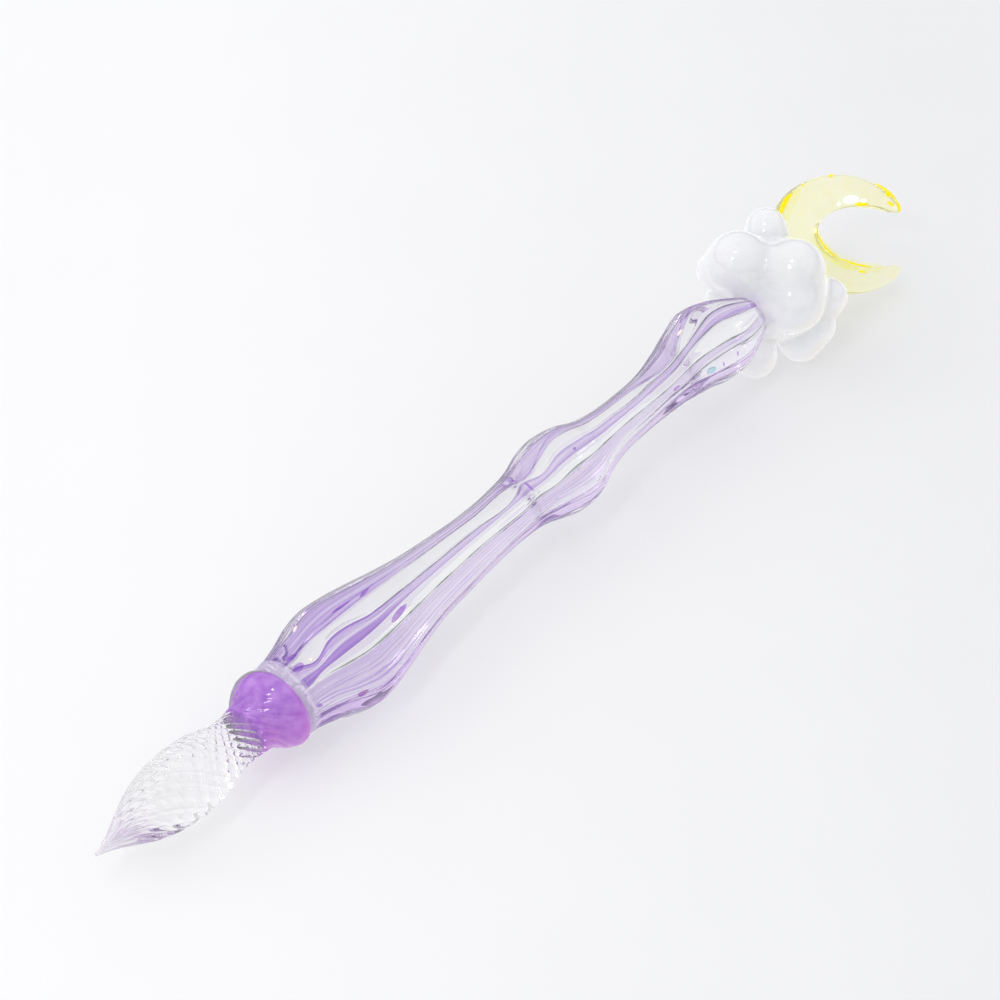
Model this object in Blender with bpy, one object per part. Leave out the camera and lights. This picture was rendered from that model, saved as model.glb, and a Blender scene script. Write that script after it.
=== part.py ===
"""A lampworked glass dip pen, lying on its side: a twisted fluted nib, a violet collar bead, a striped
handle with three swellings, a cloud of white glass puffs and a yellow crescent moon.

Lengths along the pen are measured from the nib tip. "around" is an angle about the pen's own axis, from
the +Y side towards +Z. Each piece stands a small gap away from its neighbours.
"""

import math

import bpy
import numpy as np
from mathutils import Matrix

MM = 0.001
GAP = 0.3 * MM

# How the pen lies: its axis climbs a little from the nib to the cloud.
AXIS_CLIMB = math.radians(1.6)

# Nib: a tapered rod with twisted flutes, and a plain spigot that sits inside the collar.
FLUTE_COUNT = 16
POINTS_PER_FLUTE = 3
FLUTE_DEPTH = 0.13
NIB_OUTLINE = [  # distance from the tip, radius, in mm
    (0.0, 0.22),
    (2.8, 1.15),
    (5.6, 2.50),
    (8.4, 3.75),
    (11.3, 4.65),
    (14.5, 5.10),
    (18.0, 5.10),
    (20.5, 4.75),
    (23.0, 4.00),
    (25.5, 3.65),
    (29.3, 3.80),
]
NIB_TWIST = [(0.0, 0.0), (8.0, 22.0), (16.0, 80.0), (23.0, 165.0), (29.3, 270.0)]  # mm, degrees
NIB_RINGS = 24
SPIGOT_RADIUS = 2.9 * MM
SPIGOT_END = 34.4 * MM

# Collar: a ring of violet glass wound over the spigot, steeper behind than in front.
COLLAR_OUTLINE = [  # distance from the tip, outer radius, in mm
    (29.8, 4.00),
    (30.8, 4.75),
    (31.8, 5.60),
    (33.0, 6.05),
    (34.1, 5.95),
    (34.9, 5.50),
]
SHOULDER_OUTLINE = [(35.2, 5.35), (35.7, 5.65), (36.4, 5.80)]
RING_POINTS = 32

# Handle: outer radius, and how far its middle wanders to one side, along the length.
HANDLE_OUTLINE = [  # distance from the tip, radius, wander, in mm
    (36.7, 5.75, 0.00),
    (39.5, 6.35, 0.00),
    (42.6, 7.40, -0.05),
    (46.0, 8.15, -0.20),
    (49.5, 7.85, -0.25),
    (53.4, 7.10, -0.15),
    (57.5, 6.20, -0.05),
    (62.8, 5.25, 0.05),
    (68.5, 4.70, 0.05),
    (75.5, 4.20, 0.10),
    (81.0, 4.18, 0.25),
    (85.5, 4.65, 0.35),
    (88.5, 5.60, 0.30),
    (92.0, 6.20, 0.15),
    (95.2, 5.80, 0.00),
    (98.5, 4.60, 0.00),
    (102.5, 3.80, 0.10),
    (107.5, 3.52, 0.15),
    (113.0, 3.65, 0.25),
    (117.8, 4.35, 0.60),
    (121.5, 5.20, 0.85),
    (125.5, 6.08, 0.90),
    (129.0, 5.65, 0.50),
    (132.5, 4.35, 0.25),
    (135.0, 3.20, 0.10),
]
WANDER_AROUND = math.radians(35)
CORE_SHARE = 0.50  # core rod radius as a share of the handle radius
CORE_START = 34.8 * MM
CORE_POINTS = 16
CORE_TAIL = [(136.4, 1.50), (139.5, 1.40)]  # the core's end, sunk in the cloud, in mm
CANE_SHARE = 0.93  # the canes lie a little lower than the clear ribs
CANE_AROUND = [75, 118, 149, 195, 243, 291, 339, 387]  # degrees
CANE_SPREAD = 21  # degrees that each cane covers
RIB_CROWN = [0.955, 0.99, 1.0, 0.99, 0.955]
CANE_CROWN = [0.985, 1.0, 0.985]

# Cloud: each puff is a ball, cut flat where it meets the next one.
CLOUD_CORE = (142.0, 35, 0.8, 7.6)  # distance from the tip mm, around degrees, out mm, radius mm
PUFFS = [  # distance from the tip mm, around degrees, out from the axis mm, radius mm
    (137.7, 54, 7.70, 4.80),
    (141.9, 114, 6.45, 4.70),
    (139.4, 154, 5.30, 4.50),
    (136.8, 22, 8.65, 2.90),
    (146.0, 48, 8.65, 3.35),
    (147.5, 199, 5.30, 2.95),
    (144.2, 222, 7.70, 2.60),
    (142.4, 243, 8.46, 3.35),
    (135.1, 261, 7.32, 3.35),
    (142.0, 312, 8.32, 4.70),
    (143.5, 0, 7.90, 3.80),
    (147.5, 281, 6.05, 3.60),
    (137.5, 339, 6.60, 3.50),
]
BALL_BANDS = 12
BALL_POINTS = 18

# Moon: the band between an outer and an inner ellipse, with rounded faces.
MOON_MIDDLE = (158.2, -0.1, -1.05)  # distance from the tip, and along the two directions below, in mm
MOON_WIDE_AROUND = math.radians(230)  # the crescent lies flat along the pen and along this direction
MOON_THICK_AROUND = math.radians(140)
MOON_OPENS = math.radians(32)  # from the pen's axis towards MOON_WIDE_AROUND
MOON_OUTER = (0.3, -0.45, 13.0, 8.95)  # middle and half-lengths of each ellipse, mm
MOON_INNER = (4.8, -0.2, 10.15, 4.5)
MOON_OUTER_ENDS = (-27.0, -325.0)
MOON_INNER_ENDS = (-51.0, -304.0)
MOON_THICK = 2.1 * MM  # half the thickness at its stoutest
MOON_THIN = 0.75 * MM
MOON_SQUARENESS = 0.7  # 1 rounds the section fully, smaller squares it
MOON_STATIONS = 26
MOON_SECTION_POINTS = 12


def clear_scene():
    for thing in list(bpy.data.objects):
        bpy.data.objects.remove(thing, do_unlink=True)


def make_material(name, colour, roughness, metallic=0.0):
    material = bpy.data.materials.new(name)
    material.use_nodes = True
    shader = material.node_tree.nodes["Principled BSDF"]
    shader.inputs["Base Color"].default_value = (*colour, 1.0)
    shader.inputs["Roughness"].default_value = roughness
    shader.inputs["Metallic"].default_value = metallic
    material.diffuse_color = (*colour, 1.0)
    return material


def glass_materials():
    return {
        "clear": make_material("clear_glass", (0.93, 0.94, 0.95), 0.03),
        "violet": make_material("violet_glass", (0.62, 0.42, 0.86), 0.05),
        "collar": make_material("deep_violet_glass", (0.52, 0.30, 0.78), 0.06),
        "opal": make_material("white_opal_glass", (0.90, 0.91, 0.94), 0.10),
        "moon": make_material("yellow_glass", (0.92, 0.88, 0.42), 0.06),
    }


def make_object(name, points, faces, material, smooth=True):
    mesh = bpy.data.meshes.new(name)
    mesh.from_pydata([tuple(point) for point in points], [], faces)
    mesh.validate()
    mesh.materials.append(material)
    for polygon in mesh.polygons:
        polygon.use_smooth = smooth
    thing = bpy.data.objects.new(name, mesh)
    bpy.context.scene.collection.objects.link(thing)
    return thing


def around_point(along, around, out):
    """A point at this distance from the tip, this angle around and this distance out, in pen axes."""
    return np.array([along, out * math.cos(around), out * math.sin(around)])


def read_outline(rows, along, column):
    table = np.array(rows)
    return float(np.interp(along / MM, table[:, 0], table[:, column]))


def handle_radius(along):
    return read_outline(HANDLE_OUTLINE, along, 1) * MM


def handle_middle(along):
    wander = read_outline(HANDLE_OUTLINE, along, 2) * MM
    return around_point(along, WANDER_AROUND, wander)


def loft(name, rings, material, closed_loop=False):
    """One skin over rings of equal length. Each ring runs anticlockwise seen from the far end."""
    size = len(rings[0])
    count = len(rings)
    points = [point for ring in rings for point in ring]
    faces = []
    for band in range(count if closed_loop else count - 1):
        here = band * size
        there = (band + 1) % count * size
        for step in range(size):
            after = (step + 1) % size
            faces.append((here + step, here + after, there + after, there + step))
    if not closed_loop:
        faces.append(tuple(reversed(range(size))))
        faces.append(tuple(range((count - 1) * size, count * size)))
    return make_object(name, points, faces, material)


def round_ring(along, radius, count, middle=None):
    centre = np.array([along, 0.0, 0.0]) if middle is None else middle
    turns = [2 * math.pi * step / count for step in range(count)]
    return [centre + around_point(0.0, turn, radius) for turn in turns]


def tube(name, outline, bore, material):
    """A ring with a straight bore, turned about the pen's axis."""
    start = outline[0][0] * MM
    end = outline[-1][0] * MM
    rings = [round_ring(along * MM, radius * MM, RING_POINTS) for along, radius in outline]
    rings.append(round_ring(end, bore, RING_POINTS))
    rings.append(round_ring(start, bore, RING_POINTS))
    return loft(name, rings, material, closed_loop=True)


def make_nib(material):
    end = NIB_OUTLINE[-1][0] * MM
    twist = np.array(NIB_TWIST)
    size = FLUTE_COUNT * POINTS_PER_FLUTE
    rings = []
    for along in np.linspace(0.0, end, NIB_RINGS):
        radius = read_outline(NIB_OUTLINE, along, 1) * MM
        turned = math.radians(float(np.interp(along / MM, twist[:, 0], twist[:, 1])))
        ring = []
        for step in range(size):
            turn = 2 * math.pi * step / size
            crest = abs(math.cos(FLUTE_COUNT * turn / 2))
            depth = 1.0 - FLUTE_DEPTH * (1.0 - crest)
            ring.append(around_point(along, turn + turned, radius * depth))
        rings.append(ring)
    rings.append(round_ring(end, SPIGOT_RADIUS, size))
    rings.append(round_ring(SPIGOT_END, SPIGOT_RADIUS, size))
    return loft("nib", rings, material)


def make_core(material):
    rings = [round_ring(CORE_START, SPIGOT_RADIUS, CORE_POINTS)]
    for row in HANDLE_OUTLINE:
        along = row[0] * MM
        radius = handle_radius(along) * CORE_SHARE
        rings.append(round_ring(along, radius, CORE_POINTS, handle_middle(along)))
    for along, radius in CORE_TAIL:
        rings.append(round_ring(along * MM, radius * MM, CORE_POINTS))
    return loft("core_rod", rings, material)


def make_stave(name, first, last, crown, share, material):
    """One lengthwise strip of the handle, between two angles, its outer face rounded by crown."""
    rings = []
    for row in HANDLE_OUTLINE:
        along = row[0] * MM
        outer = handle_radius(along) * share
        inner = handle_radius(along) * CORE_SHARE + GAP
        middle = handle_middle(along)
        inset = GAP / 2
        ring = [middle + around_point(0.0, last - inset / inner, inner)]
        ring.append(middle + around_point(0.0, first + inset / inner, inner))
        low = first + inset / outer
        high = last - inset / outer
        for step, height in enumerate(crown):
            turn = low + (high - low) * step / (len(crown) - 1)
            ring.append(middle + around_point(0.0, turn, outer * height))
        rings.append(ring)
    return loft(name, rings, material)


def make_staves(materials):
    """Violet canes and clear ribs, turn about, all the way round the core."""
    half = CANE_SPREAD / 2
    for number, around in enumerate(CANE_AROUND, start=1):
        first = math.radians(around - half)
        last = math.radians(around + half)
        name = f"violet_cane_{number}"
        make_stave(name, first, last, CANE_CROWN, CANE_SHARE, materials["violet"])
    for number, around in enumerate(CANE_AROUND, start=1):
        after = CANE_AROUND[number] if number < len(CANE_AROUND) else CANE_AROUND[0] + 360
        first = math.radians(around + half)
        last = math.radians(after - half)
        make_stave(f"clear_rib_{number}", first, last, RIB_CROWN, 1.0, materials["clear"])


def ball_directions():
    """Unit directions of a ball's points, with a pole at each end."""
    directions = [np.array([0.0, 0.0, -1.0])]
    for band in range(1, BALL_BANDS):
        lift = -math.pi / 2 + math.pi * band / BALL_BANDS
        for step in range(BALL_POINTS):
            turn = 2 * math.pi * step / BALL_POINTS
            flat = math.cos(lift)
            directions.append(np.array([flat * math.cos(turn), flat * math.sin(turn), math.sin(lift)]))
    directions.append(np.array([0.0, 0.0, 1.0]))
    return directions


def ball_faces():
    faces = []
    for step in range(BALL_POINTS):
        after = (step + 1) % BALL_POINTS
        faces.append((0, 1 + after, 1 + step))
    for band in range(BALL_BANDS - 2):
        here = 1 + band * BALL_POINTS
        there = here + BALL_POINTS
        for step in range(BALL_POINTS):
            after = (step + 1) % BALL_POINTS
            faces.append((here + step, here + after, there + after, there + step))
    top = 1 + (BALL_BANDS - 1) * BALL_POINTS
    last = top - BALL_POINTS
    for step in range(BALL_POINTS):
        after = (step + 1) % BALL_POINTS
        faces.append((last + step, last + after, top))
    return faces


def cut_ball(name, centre, radius, planes, material):
    """A ball flattened on each plane, given as an outward direction and a distance from the centre."""
    points = []
    for direction in ball_directions():
        reach = radius
        for outward, distance in planes:
            lean = float(direction @ outward)
            if lean * reach > distance:
                reach = distance / lean
        points.append(centre + direction * reach)
    return make_object(name, points, ball_faces(), material)


def meeting_planes(index, balls):
    """The planes where this ball meets the others, each moved back by half the gap."""
    centre, radius = balls[index]
    planes = []
    for other, (there, reach) in enumerate(balls):
        apart = float(np.linalg.norm(there - centre))
        if other == index or apart > radius + reach + GAP:
            continue
        meets = (apart**2 + radius**2 - reach**2) / (2 * apart)
        planes.append(((there - centre) / apart, meets - GAP / 2))
    return planes


def make_cloud(material, moon_cutter):
    """The cloud, with a socket for the core rod and pockets where the moon sinks in."""
    rows = [CLOUD_CORE, *PUFFS]
    balls = []
    for along, around, out, radius in rows:
        centre = around_point(along * MM, math.radians(around), out * MM)
        balls.append((centre, radius * MM))
    moon_points = np.array([vertex.co[:] for vertex in moon_cutter.data.vertices])
    for index, (centre, radius) in enumerate(balls):
        name = f"cloud_puff_{index:02d}" if index else "cloud_core"
        planes = meeting_planes(index, balls)
        if index == 0:
            handle_end = HANDLE_OUTLINE[-1][0] * MM + GAP
            planes.append((np.array([-1.0, 0.0, 0.0]), centre[0] - handle_end))
        puff = cut_ball(name, centre, radius, planes, material)
        if index == 0:
            cut_away(puff, socket_cutter(material))
        if np.linalg.norm(moon_points - centre, axis=1).min() < radius:
            cut_away(puff, moon_cutter)


def socket_cutter(material):
    """The shape of the socket that takes the end of the core rod."""
    start = (CORE_TAIL[0][0] - 8.0) * MM
    end = CORE_TAIL[-1][0] * MM + GAP
    radius = CORE_TAIL[0][1] * MM + 2 * GAP
    rings = [round_ring(start, radius, CORE_POINTS), round_ring(end, radius, CORE_POINTS)]
    return as_cutter(loft("socket_cutter", rings, material))


def as_cutter(thing):
    thing.hide_render = True
    thing.display_type = "WIRE"
    turn_outward(thing)
    return thing


def cut_away(thing, cutter):
    cut = thing.modifiers.new("cut_for_" + cutter.name, "BOOLEAN")
    cut.operation = "DIFFERENCE"
    cut.solver = "EXACT"
    cut.object = cutter


def ellipse_point(ellipse, turn):
    """A point of one moon ellipse: how far towards the opening, and how far across it."""
    forward, sideways, long_half, short_half = ellipse
    return np.array([forward + long_half * math.cos(turn), sideways + short_half * math.sin(turn)]) * MM


def squared(value):
    """A sine or cosine pushed towards its ends, which squares up a round section."""
    return math.copysign(abs(value) ** MOON_SQUARENESS, value)


def make_moon(name, extra, material):
    """The crescent, or with extra the same shape that much fatter all round."""
    wide = around_point(0.0, MOON_WIDE_AROUND, 1.0)
    thick = around_point(0.0, MOON_THICK_AROUND, 1.0)
    pen = np.array([1.0, 0.0, 0.0])
    opening = pen * math.cos(MOON_OPENS) + wide * math.sin(MOON_OPENS)
    across = wide * math.cos(MOON_OPENS) - pen * math.sin(MOON_OPENS)
    middle = (pen * MOON_MIDDLE[0] + wide * MOON_MIDDLE[1] + thick * MOON_MIDDLE[2]) * MM
    rings = []
    for share in np.linspace(0.0, 1.0, MOON_STATIONS):
        outer_turn = math.radians(float(np.interp(share, (0, 1), MOON_OUTER_ENDS)))
        inner_turn = math.radians(float(np.interp(share, (0, 1), MOON_INNER_ENDS)))
        outer = ellipse_point(MOON_OUTER, outer_turn)
        inner = ellipse_point(MOON_INNER, inner_turn)
        centre = (outer + inner) / 2
        half_width = (outer - inner) / 2
        half_width *= 1 + extra / np.linalg.norm(half_width)
        swell = math.sin(math.pi * share) ** 0.7
        half_thick = MOON_THIN + (MOON_THICK - MOON_THIN) * swell + extra
        ring = []
        for step in range(MOON_SECTION_POINTS):
            turn = 2 * math.pi * step / MOON_SECTION_POINTS
            flat = centre + half_width * squared(math.cos(turn))
            lift = thick * half_thick * squared(math.sin(turn))
            ring.append(middle + opening * flat[0] + across * flat[1] - lift)
        rings.append(ring)
    return loft(name, rings, material)


def turn_outward(thing):
    """Turns the faces round if they point inwards."""
    volume = 0.0
    thing.data.calc_loop_triangles()
    for triangle in thing.data.loop_triangles:
        first, second, third = (thing.data.vertices[index].co for index in triangle.vertices)
        volume += first.dot(second.cross(third))
    if volume < 0:
        thing.data.flip_normals()


def lay_down():
    """Hangs every piece from one empty on the pen's axis, tilted to its resting lie.

    The empty stands where the pen's lowest point is on the ground and its box is centred on the origin.
    """
    pieces = list(bpy.context.scene.collection.objects)
    axis = bpy.data.objects.new("pen_axis", None)
    bpy.context.scene.collection.objects.link(axis)
    axis.rotation_euler = (0.0, -AXIS_CLIMB, 0.0)
    lie = Matrix.Rotation(-AXIS_CLIMB, 3, "Y")
    low = np.full(3, np.inf)
    high = np.full(3, -np.inf)
    for piece in pieces:
        turn_outward(piece)
        piece.parent = axis
        if not piece.hide_render:
            points = np.array([lie @ vertex.co for vertex in piece.data.vertices])
            low = np.minimum(low, points.min(axis=0))
            high = np.maximum(high, points.max(axis=0))
    axis.location = (-(low[0] + high[0]) / 2, -(low[1] + high[1]) / 2, -low[2])


def main():
    clear_scene()
    materials = glass_materials()
    make_nib(materials["clear"])
    tube("collar", COLLAR_OUTLINE, SPIGOT_RADIUS + GAP, materials["collar"])
    tube("shoulder_ring", SHOULDER_OUTLINE, SPIGOT_RADIUS + GAP, materials["clear"])
    make_core(materials["clear"])
    make_staves(materials)
    make_moon("moon_crescent", 0.0, materials["moon"])
    moon_cutter = as_cutter(make_moon("moon_cutter", GAP, materials["moon"]))
    make_cloud(materials["opal"], moon_cutter)
    lay_down()


main()
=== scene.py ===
"""The looks of a lampworked glass dip pen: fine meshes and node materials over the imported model.

Places on the pen are given in its own terms: millimetres from the nib's tip, an angle in degrees about the
pen's axis (from +Y towards +Z), and a distance out from the axis.
"""

import math

import bpy
import numpy as np
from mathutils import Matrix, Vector


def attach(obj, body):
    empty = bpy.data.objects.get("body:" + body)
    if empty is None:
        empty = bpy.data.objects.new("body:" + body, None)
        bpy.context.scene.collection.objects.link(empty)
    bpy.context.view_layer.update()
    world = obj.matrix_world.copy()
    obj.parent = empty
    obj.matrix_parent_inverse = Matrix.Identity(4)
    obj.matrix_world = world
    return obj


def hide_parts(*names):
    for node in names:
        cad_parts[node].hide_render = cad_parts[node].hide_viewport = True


MM = 0.001
FRONT = 125.0  # the side of the pen that faces up and towards the viewer, in degrees around
PROUD = 0.04  # how far a coloured cane stands out of the clear glass, mm

# The lie of the pen, as in the CAD.
AXIS_CLIMB = math.radians(1.6)
TIP_RING = 0.02  # how near the tip the nib's last ring of points lies, mm

# Nib
FLUTES = 16
NIB_POINTS_PER_FLUTE = 14
NIB_RINGS = 240
NIB_OUTLINE = [  # distance from the tip, radius
    (0.0, 0.20), (2.8, 1.12), (5.6, 2.46), (8.4, 3.70),
    (11.3, 4.60), (14.5, 5.05), (18.0, 5.05), (20.5, 4.70),
    (23.0, 3.98), (25.5, 3.62), (29.3, 3.76), (31.6, 3.70),
]
NIB_TWIST = [(0.0, 0.0), (8.0, 22.0), (16.0, 80.0), (23.0, 165.0), (29.3, 270.0), (31.6, 305.0)]
NIB_FLUTE_DEPTH = [  # distance from the tip, share of the radius
    (0.0, 0.12), (3.0, 0.20), (8.0, 0.09), (12.0, 0.05),
    (17.0, 0.04), (21.0, 0.06), (24.0, 0.11), (31.6, 0.13),
]
NIB_LINES_PER_FLUTE = 4.0  # fine grey lines
FROST_GLOW_FROM = 3.0  # the nib's end has a rough white haze with a painted glow that lightens it
FROST_GLOW_TO = 11.0
FROST_GLOW_SHARE = 0.42
ROOT_OUTLINE = [(27.85, 3.45), (28.05, 3.58), (28.25, 3.45)]  # the pale face at the nib's root
ROOT_POINTS = 48

# Collar
COLLAR_OUTLINE = [  # distance from the tip, radius
    (27.6, 3.45), (27.9, 3.68), (28.9, 3.82), (29.7, 4.12),
    (30.5, 4.75), (31.3, 5.32), (32.2, 5.80), (33.1, 6.02),
    (33.9, 5.92), (34.4, 5.60), (34.8, 4.95), (35.05, 4.00),
]
COLLAR_LEAN = 0.7  # how far its lower side sits behind its upper side, mm
COLLAR_LEANS_TO = 215.0
COLLAR_LEAN_EASE = (2.0, 2.5)  # the lengths over which the lean sets in and ends, mm
COLLAR_FLUTES_END = 32.5
COLLAR_FLUTES_FADE = 3.5  # the length over which the flutes run out, mm
COLLAR_FLUTE_DEPTH = 0.05  # of the radius
COLLAR_RINGS = 90
COLLAR_POINTS = 192

# Handle: radius and wander along the length.
HANDLE_OUTLINE = [
    (34.2, 4.70, 0.00), (34.7, 5.25, 0.00), (35.3, 5.52, 0.00), (36.7, 5.70, 0.00),
    (39.5, 6.35, 0.00), (42.6, 7.40, -0.05), (46.0, 8.10, -0.20), (49.5, 7.85, -0.25),
    (53.4, 7.10, -0.15), (57.5, 6.20, -0.05), (62.8, 5.25, 0.05), (68.5, 4.70, 0.05),
    (75.5, 4.20, 0.10), (81.0, 4.18, 0.25), (85.5, 4.65, 0.35), (88.5, 5.60, 0.30),
    (92.0, 6.18, 0.15), (95.2, 5.80, 0.00), (98.5, 4.60, 0.00), (102.5, 3.80, 0.10),
    (107.5, 3.52, 0.15), (113.0, 3.65, 0.25), (117.8, 4.35, 0.60), (121.5, 5.20, 0.85),
    (125.5, 6.05, 0.90), (129.0, 5.65, 0.50), (132.5, 4.35, 0.25), (135.0, 3.20, 0.10),
    (136.4, 2.70, 0.00),
]
WANDER_AROUND = 35.0
HANDLE_RINGS = 420
HANDLE_POINTS = 240
GROOVE_DEPTH = 0.030  # of the radius, along each edge of a cane
GROOVE_WIDTH = 3.2  # degrees
RIM_FROM = 36.5  # the painted shade on the handle's rims sets in from here
RIM_TO = 40.0  # to here

# Violet canes: distance from the tip, then where the cane starts and ends, in degrees from FRONT.
CANES = {
    1: [
        (36.0, -75, -37), (38.0, -75, -36), (40.5, -70, -37), (44.0, -69, -33), (52.0, -62, -35),
        (64.0, -66, -42), (74.5, -68, -44), (82.5, -66, -40), (84.5, -68, -29), (88.0, -66, -34),
        (91.5, -62, -43), (96.0, -66, -45), (103.5, -66, -49), (108.5, -66, -47), (113.5, -62, -31),
        (116.5, -62, -27), (121.0, -70, -46), (125.5, -70, -58), (130.5, -66, -54), (134.9, -66, -40),
    ],
    2: [
        (36.0, -26, 7), (37.0, -25, 7), (39.0, -14, 3), (42.5, -20, 2), (50.0, -14, 0),
        (57.0, -14, -3), (62.5, -15, -4), (73.0, -18, -7), (81.5, -17, -6), (83.5, -26, -5), (86.5, -14, -3),
        (90.0, -20, -6), (94.0, -20, -7), (102.5, -22, -7), (108.0, -20, -7), (112.5, -25, -8),
        (116.0, -21, -8), (119.5, -23, -13), (123.5, -28, -15), (128.5, -34, -13), (134.9, -34, -8),
    ],
    3: [
        (36.0, 11, 50), (37.0, 11, 50), (39.0, 11, 50), (42.5, 14, 52), (50.5, 15, 52),
        (63.0, 16, 54), (73.5, 14, 50), (81.5, 17, 48), (84.0, 15, 50), (87.0, 16, 46),
        (90.5, 11, 46), (94.5, 10, 42), (102.5, 11, 34), (108.0, 12, 34), (113.0, 13, 30),
        (116.0, 12, 31), (119.5, 11, 27), (123.5, 14, 27), (129.0, 18, 30), (134.9, 14, 38),
    ],
    4: [
        (36.0, 53, 86), (39.0, 53, 86), (41.0, 53, 78), (45.5, 55, 90), (53.5, 55, 90),
        (65.5, 58, 90), (75.0, 54, 88), (83.0, 52, 88), (85.5, 54, 86), (88.5, 50, 78),
        (92.5, 50, 79), (96.5, 48, 77), (104.0, 48, 75), (109.0, 46, 80), (113.5, 42, 76),
        (117.0, 42, 76), (120.5, 48, 69), (125.0, 51, 72), (130.5, 52, 70), (134.9, 46, 72),
    ],
    5: [(36.0, 106, 130), (60.0, 108, 128), (92.0, 107, 129), (134.9, 104, 132)],
    6: [(36.0, 154, 178), (60.0, 156, 176), (92.0, 155, 177), (134.9, 152, 180)],
    7: [(36.0, 203, 226), (60.0, 204, 224), (92.0, 203, 225), (134.9, 200, 228)],
    8: [(36.0, 251, 273), (60.0, 252, 272), (92.0, 251, 273), (134.9, 248, 276)],
}
CANE_BANDS = {  # across a cane, from 0 to 1, and how deep the violet is there
    1: [
        (0.0, 0.2), (0.12, 1.0), (0.20, 0.25), (0.42, 0.35), (0.50, 1.1),
        (0.57, 0.35), (0.72, 0.5), (0.80, 1.5), (0.88, 0.2), (1.0, 0.7),
    ],
    2: [
        (0.0, 1.7), (0.07, 1.4), (0.13, 0.4), (0.40, 0.4), (0.46, 0.0),
        (0.54, 0.0), (0.60, 1.5), (0.78, 1.1), (0.93, 1.8), (1.0, 1.3),
    ],
    3: [
        (0.0, 0.25), (0.12, 0.22), (0.32, 0.10), (0.36, 1.1), (0.40, 0.05), (0.53, 0.03), (0.56, 0.7),
        (0.59, 0.03), (0.69, 0.08), (0.73, 1.7), (0.77, 0.06), (0.90, 0.03), (1.0, 0.15),
    ],
    4: [(0.0, 0.18), (0.25, 0.15), (0.5, 0.32), (1.0, 0.35)],
}
STREAKY = {1: 0.55, 2: 0.65, 3: 0.25, 4: 0.4}  # how strongly a cane's fine streaks show
MILKY = 0.06  # the share of light that a cane scatters
PALER = 0.4  # how much of a cane's violet is gone behind the front swelling
PALER_FROM = 49.0
PALER_TO = 60.0
HIDDEN_BANDS = [(0.0, 0.10), (0.5, 0.04), (1.0, 0.10)]
HIDDEN_STREAKY = 0.1
HIDDEN_MILKY = 0.004
BAND_WANDER = 0.30  # how far the bands stray across a cane
VIOLET = (0.23, 0.38, 0.09)  # what one face of a cane takes out of red, green and blue light
PINK_VIOLET = (0.18, 0.42, 0.06)
CANE_DEPTH = 0.20  # of the handle's radius
CANE_RINGS = 300
CANE_ACROSS = 16
CANE_LEAST_ACROSS = 5
CANE_END = 1.5  # the length over which its end thins out, mm
STRIP_END_PROUD = 0.1  # how much of its height a cane or seam keeps at its ends
STRIP_END_DEEP = 0.05  # and of its depth
STRIP_EDGE = 0.02  # the depth of its two long edges, mm
STRIP_LEAST = 0.01  # and what is left even at the ends, mm

# Fine dark seams beside the canes: cane, where across it (0 is its start, 1 its end), from, to, and width in
# degrees.
SEAMS = [
    (3, -0.05, 38.5, 134.0, 2.8), (2, -0.03, 50.0, 83.0, 1.6), (2, -0.02, 108.0, 134.0, 2.4),
    (2, 1.06, 110.0, 134.0, 2.4), (1, 1.04, 60.0, 83.0, 1.6), (3, 1.04, 112.0, 134.0, 2.2),
]
SEAM_DEPTH = 0.07
SEAM_END = 6.0  # the length over which its depth runs out, mm
SEAM_TAPER = 8.0  # and its width, mm
SEAM_LEAST = 0.02
SEAM_WIDTH_MEAN = 0.75  # its width comes and goes along it
SEAM_WIDTH_SWING = 0.25
SEAM_WIDTH_RATE = 0.9  # radians per mm
SEAM_RINGS_PER_MM = 3

# Small things caught in the handle's skin, and painted glints that stand in for highlights: kind, distance
# from the tip, degrees from FRONT, half length and half width in mm, and the lean of its length towards the
# way round.
INCLUSIONS = [
    ("painted_glint", 39.2, -18, 0.30, 0.26, 0), ("painted_glint", 42.0, -64, 0.85, 0.34, -20),
    ("drop", 37.4, -23, 1.00, 0.55, 0), ("drop", 38.0, -40, 0.80, 0.30, 10),
    ("drop", 53.5, 5, 1.90, 0.40, -10), ("drop", 47.5, -39, 1.60, 0.22, 4),
    ("drop", 52.0, -38, 1.10, 0.20, -6), ("dark_drop", 43.0, 53, 0.95, 0.36, 8),
    ("drop", 36.6, 38, 0.60, 0.30, 30), ("bubble", 83.5, 37, 0.20, 0.18, 0),
    ("bubble", 86.5, 36, 0.20, 0.18, 0), ("bubble", 91.2, 14, 0.34, 0.20, 20),
    ("drop", 92.7, -12, 0.26, 0.22, 0), ("drop", 84.1, -12, 0.20, 0.80, 0),
    ("drop", 114.5, 24, 0.70, 0.20, 0), ("painted_glint", 121.2, -49, 0.80, 0.30, -10),
    ("painted_cyan_glint", 121.0, 41, 0.95, 0.44, 10), ("drop", 123.0, 42, 0.12, 0.40, 0),
    ("drop", 125.7, 39, 0.12, 0.42, 10), ("bubble", 131.0, 50, 0.36, 0.30, 0),
    ("bubble", 129.5, 56, 0.22, 0.18, 0),
]
INCLUSION_PROUD = 0.10
INCLUSION_BALL = (12, 20)  # bands and points round

# Pale band behind the collar: distance from the tip, radius
SHOULDER = [(34.35, 5.02), (34.7, 5.33), (35.4, 5.62), (36.3, 5.75)]
SHOULDER_THICK = 0.5
SHOULDER_RINGS = 12
SHOULDER_POINTS = 96

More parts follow.
